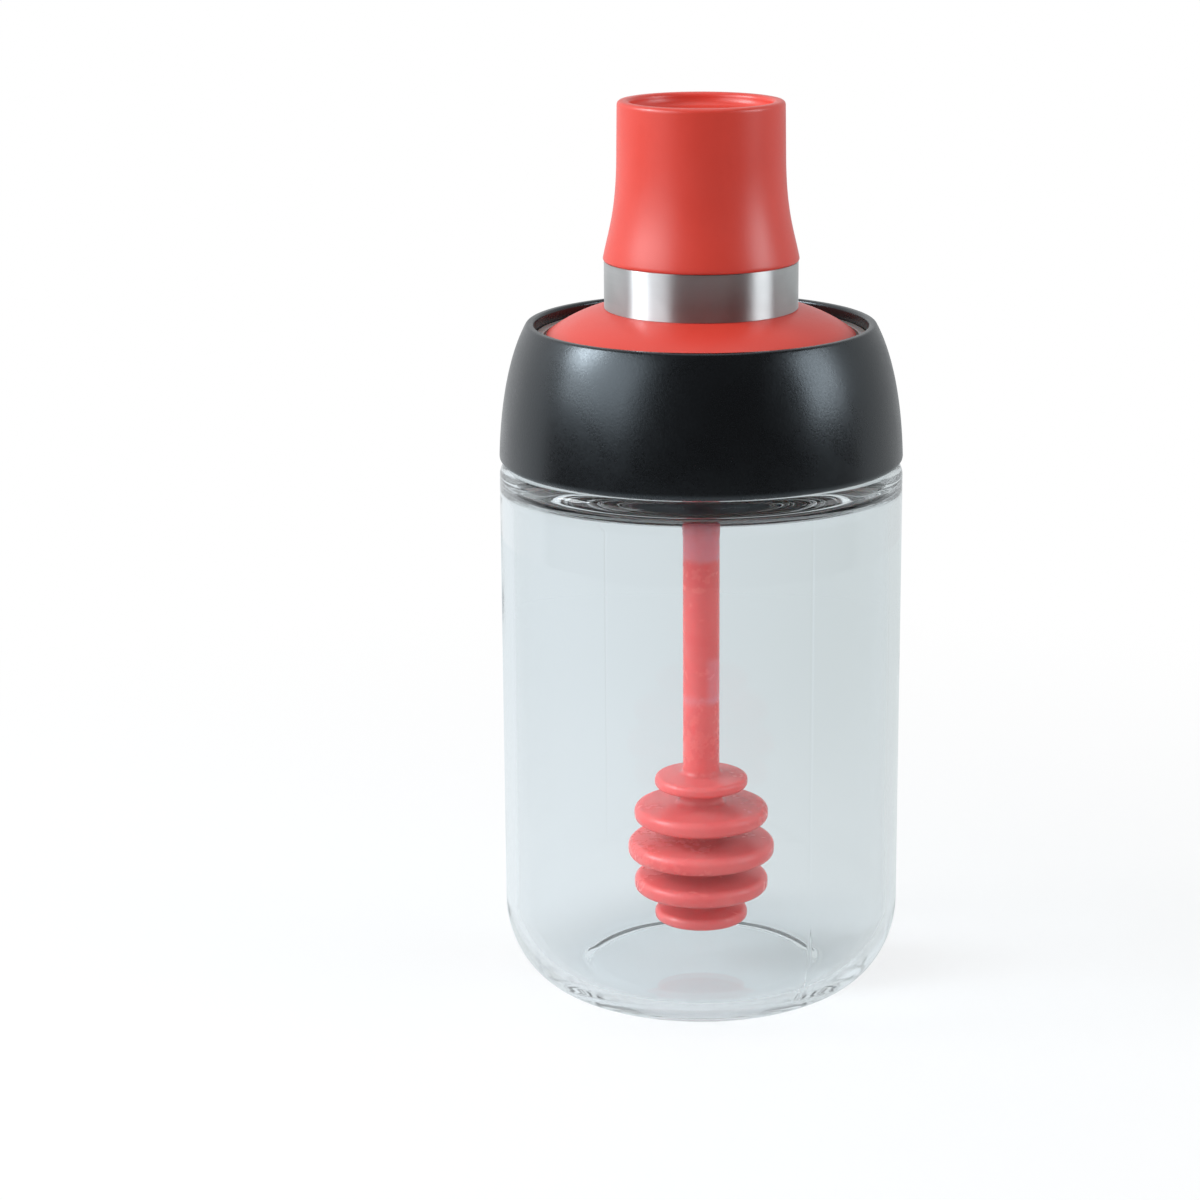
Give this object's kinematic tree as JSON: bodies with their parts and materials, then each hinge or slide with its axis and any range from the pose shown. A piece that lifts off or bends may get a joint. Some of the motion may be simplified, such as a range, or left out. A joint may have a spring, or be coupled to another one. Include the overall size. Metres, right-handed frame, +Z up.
{
  "type": "honey dispenser",
  "caption": "Round glass honey jar with a black screw collar and a coral plug-in lid that carries a ringed honey dipper.",
  "frame": {"origin": "centre of the jar's foot, on the surface that it stands on", "axes": "+Z up along the jar's axis; X and Y are free, since the form is round apart from the ribs inside"},
  "size_m": [0.067, 0.067, 0.15],
  "materials": {
    "clear_glass": "polished, slightly uneven pressed glass",
    "soft_seal": "soft matt silicone",
    "natural_plastic": "natural translucent plastic, smooth",
    "black_plastic": "satin, finely textured",
    "coral_plastic": "satin, finely textured",
    "brushed_steel": "brushed round the band",
    "coral_dipper": "semi-gloss, slightly translucent"
  },
  "bodies": {
    "jar": {"jar": "clear_glass"},
    "gasket": {"neck_gasket": "soft_seal"},
    "collar": {"thread_insert": "natural_plastic", "collar_shell": "black_plastic"},
    "seal": {"plug_seal": "soft_seal"},
    "lid": {"lid_dome": "coral_plastic", "lid_plug": "coral_plastic", "stem_holder": "coral_plastic", "steel_band": "brushed_steel", "grip": "coral_plastic", "dipper": "coral_dipper"}
  },
  "joints": [
    {"name": "collar_lift", "type": "slide", "parent": "jar", "child": "gasket", "axis": [0, 0, 1], "range_m": [0, 0.00625]},
    {"name": "collar_turn", "type": "hinge", "parent": "gasket", "child": "collar", "pos_m": [0, 0, 0.1], "axis": [0, 0, 1], "range_deg": [0, 450]},
    {"name": "lid_lift", "type": "slide", "parent": "collar", "child": "seal", "axis": [0, 0, 1], "range_m": [0, 0.11]},
    {"name": "lid_spin", "type": "hinge", "parent": "seal", "child": "lid", "pos_m": [0, 0, 0.112], "axis": [0, 0, 1], "continuous": true}
  ],
  "couplings": [
    {"joint": "collar_lift", "follows": "collar_turn", "m_per_rad": 0.00079577}
  ]
}
